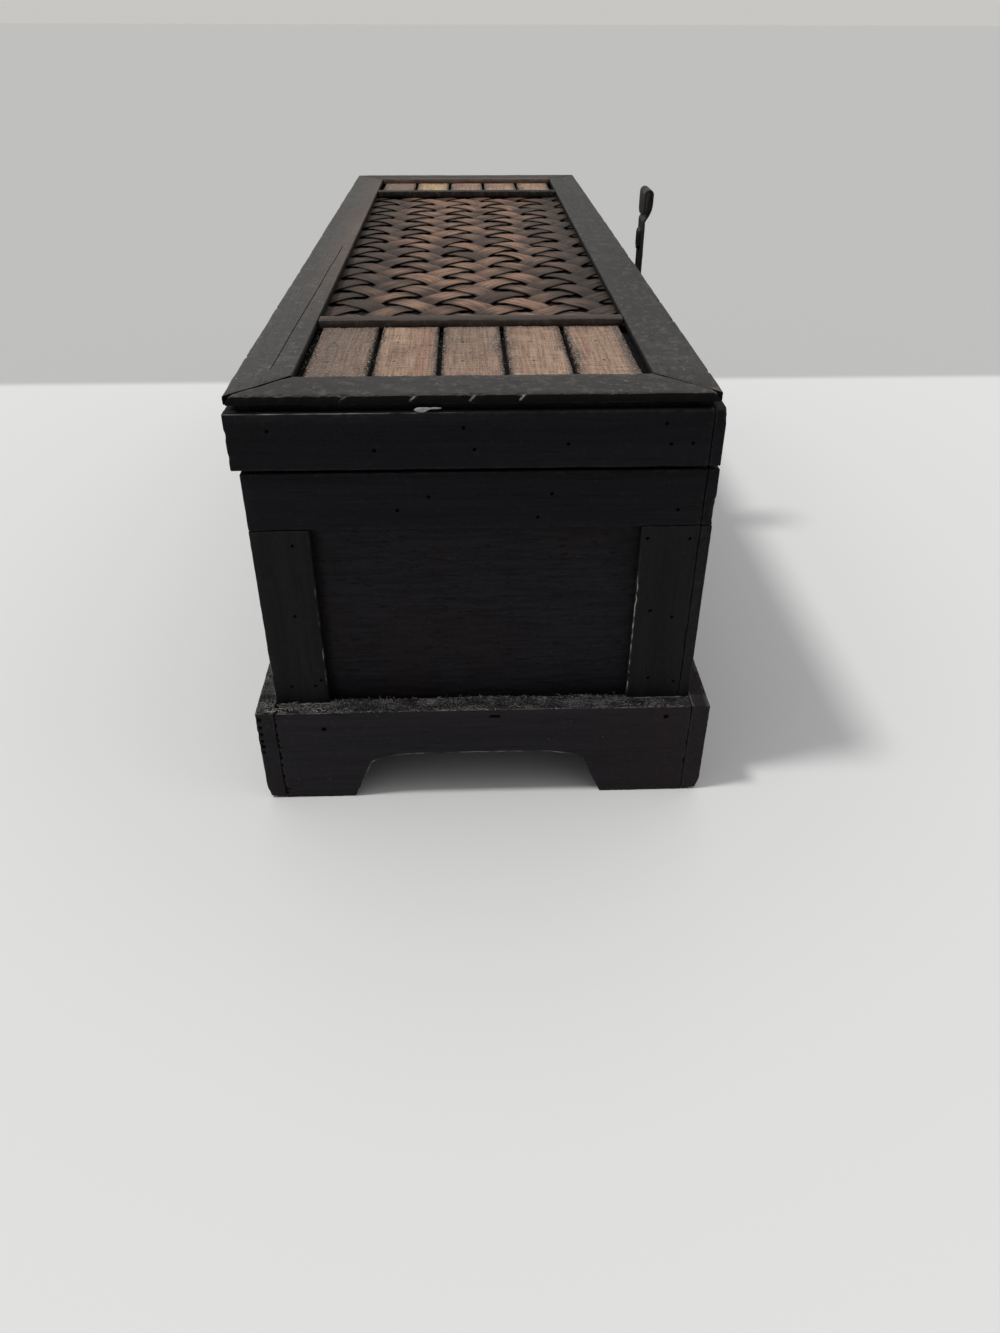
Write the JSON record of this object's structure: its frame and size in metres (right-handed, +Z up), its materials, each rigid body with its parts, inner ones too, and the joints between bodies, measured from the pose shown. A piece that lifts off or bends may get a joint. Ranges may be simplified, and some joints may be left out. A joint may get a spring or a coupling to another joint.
{
  "type": "woven keepsake box",
  "caption": "Long dark-stained wooden box on a bracket-foot base, with a hinged lid that holds slats and a woven splint panel, and an iron hasp over a staple.",
  "frame": {"origin": "on the floor under the middle of the base", "axes": "+X towards the front, where the hasp is; +Y along the length, to the right end; +Z up"},
  "size_m": [0.1291, 0.3718, 0.1383],
  "materials": {
    "stained_wood": "black-brown stain, satin, worn at the edges",
    "worn_wood": "grey-black stain, rubbed and dusty",
    "slat_wood": "scorched and sanded, matt",
    "splint": "stained split wood, satin",
    "plywood": "dark stained plywood, matt",
    "iron": "blackened sheet iron, matt"
  },
  "bodies": {
    "box": {"base_front": "stained_wood", "base_back": "stained_wood", "base_left": "stained_wood", "base_right": "stained_wood", "wall_front": "plywood", "wall_back": "plywood", "wall_left": "plywood", "wall_right": "plywood", "bottom": "plywood", "band_front": "stained_wood", "band_back": "stained_wood", "band_left": "stained_wood", "band_right": "stained_wood", "stile_front_left": "stained_wood", "stile_front_right": "stained_wood", "stile_back_left": "stained_wood", "stile_back_right": "stained_wood", "stile_left_front": "stained_wood", "stile_left_back": "stained_wood", "stile_right_front": "stained_wood", "stile_right_back": "stained_wood", "hinge_left_box_leaf": "iron", "hinge_right_box_leaf": "iron", "hinge_left_pin": "iron", "hinge_right_pin": "iron", "hinge_screws_box": "iron", "staple": "iron", "staple_nails": "iron", "brads_base": "iron", "brads_box": "iron"},
    "lid": {"lid_wall_front": "plywood", "lid_wall_back": "plywood", "lid_wall_left": "plywood", "lid_wall_right": "plywood", "rim_front": "stained_wood", "rim_back": "stained_wood", "rim_left": "stained_wood", "rim_right": "stained_wood", "lid_panel": "plywood", "lid_packing": "plywood", "rail_front": "worn_wood", "rail_back": "worn_wood", "rail_left": "worn_wood", "rail_right": "worn_wood", "crossbar_left": "stained_wood", "crossbar_right": "stained_wood", "slats_left": "slat_wood", "slats_right": "slat_wood", "splints_rising": "splint", "splints_falling": "splint", "hinge_left_lid_leaf": "iron", "hinge_right_lid_leaf": "iron", "hinge_screws_lid": "iron", "hasp_plate": "iron", "hasp_pin": "iron", "hasp_nails": "iron", "brads_lid": "iron"},
    "hasp": {"hasp_arm": "iron"}
  },
  "joints": [
    {"name": "lid_hinge", "type": "hinge", "parent": "box", "child": "lid", "pos_m": [-0.0618, 0, 0.09965], "axis": [0, -1, 0], "range_deg": [0, 105]},
    {"name": "hasp_hinge", "type": "hinge", "parent": "lid", "child": "hasp", "pos_m": [0.06145, -0.0155, 0.1066], "axis": [0, 1, 0], "range_deg": [-15, 180]}
  ]
}
